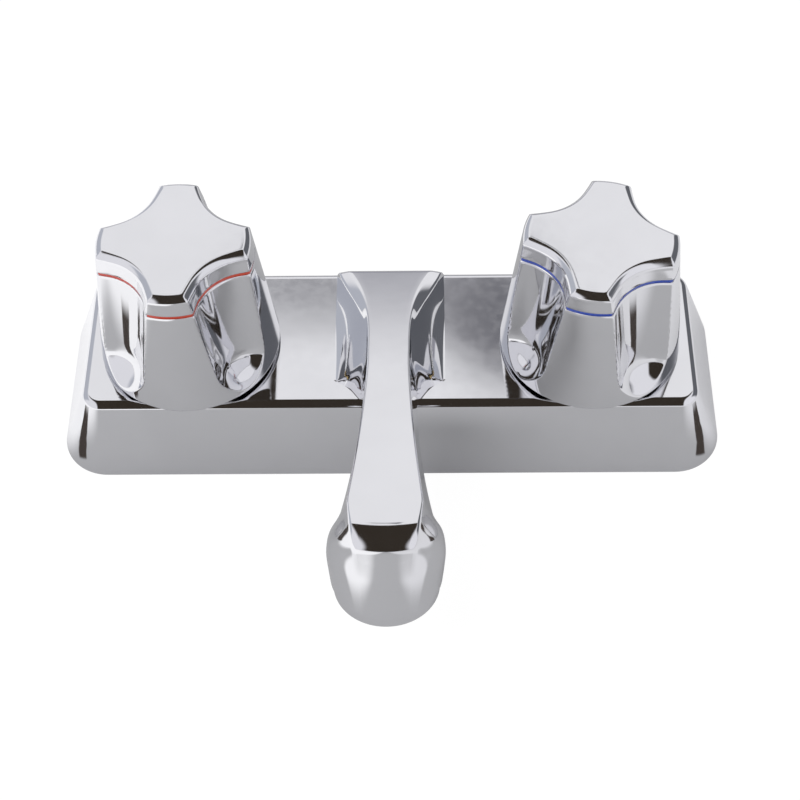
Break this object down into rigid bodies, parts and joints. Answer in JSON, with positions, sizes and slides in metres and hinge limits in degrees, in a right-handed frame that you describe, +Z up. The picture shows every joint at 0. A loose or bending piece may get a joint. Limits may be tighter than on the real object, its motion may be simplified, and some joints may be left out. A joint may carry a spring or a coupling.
{
  "type": "centerset bathroom faucet",
  "caption": "Two-handle centerset basin faucet: tapered deck with a sculpted fixed spout, fluted knobs on quarter-turn valves, and threaded supply shanks below.",
  "frame": {"origin": "midway between the two valve axes, on the plane of the basin's surface under the deck", "axes": "+X to the cold valve, +Y to the back of the basin, away from the spout, +Z up along the valve axes"},
  "size_m": [0.169, 0.1179, 0.1107],
  "materials": {
    "cartridge_plastic": "moulded plastic",
    "cast_brass": "cast brass with a fine grain",
    "chrome_body": "polished chrome plate",
    "chrome_cap": "polished chrome plate",
    "chrome_knob": "polished chrome plate",
    "chrome_ring": "polished chrome plate",
    "cold_mark": "blue moulded plastic",
    "gasket_rubber": "soft rubber",
    "hot_mark": "red moulded plastic",
    "seal_rubber": "moulded rubber",
    "steel": "plain steel",
    "tube_plastic": "extruded plastic",
    "turned_brass": "turned brass",
    "white_ceramic": "ground ceramic",
    "white_plastic": "moulded plastic"
  },
  "bodies": {
    "base": {"body_shell": "chrome_body", "base_gasket": "gasket_rubber", "waterway": "cast_brass", "spout_tube": "tube_plastic", "aerator_housing": "chrome_ring", "aerator_insert": "white_plastic", "aerator_washer": "seal_rubber", "hot_supply_shank": "turned_brass", "hot_mounting_nut": "white_plastic", "hot_bonnet_nut": "turned_brass", "hot_cartridge": "cartridge_plastic", "hot_seat_washer": "seal_rubber", "hot_fixed_disc": "white_ceramic", "hot_stem_seal": "seal_rubber", "cold_supply_shank": "turned_brass", "cold_mounting_nut": "white_plastic", "cold_bonnet_nut": "turned_brass", "cold_cartridge": "cartridge_plastic", "cold_seat_washer": "seal_rubber", "cold_fixed_disc": "white_ceramic", "cold_stem_seal": "seal_rubber"},
    "hot_knob": {"hot_handle": "chrome_knob", "hot_index_ring": "hot_mark", "hot_handle_cap": "chrome_cap", "hot_handle_screw": "steel", "hot_stem": "turned_brass", "hot_moving_disc": "white_ceramic"},
    "cold_knob": {"cold_handle": "chrome_knob", "cold_index_ring": "cold_mark", "cold_handle_cap": "chrome_cap", "cold_handle_screw": "steel", "cold_stem": "turned_brass", "cold_moving_disc": "white_ceramic"}
  },
  "joints": [
    {"name": "hot_turn", "type": "hinge", "parent": "base", "child": "hot_knob", "pos_m": [-0.0508, 0, 0.0417], "axis": [0, 0, 1], "range_deg": [0, 90]},
    {"name": "cold_turn", "type": "hinge", "parent": "base", "child": "cold_knob", "pos_m": [0.0508, 0, 0.0417], "axis": [0, 0, 1], "range_deg": [-90, 0]}
  ]
}
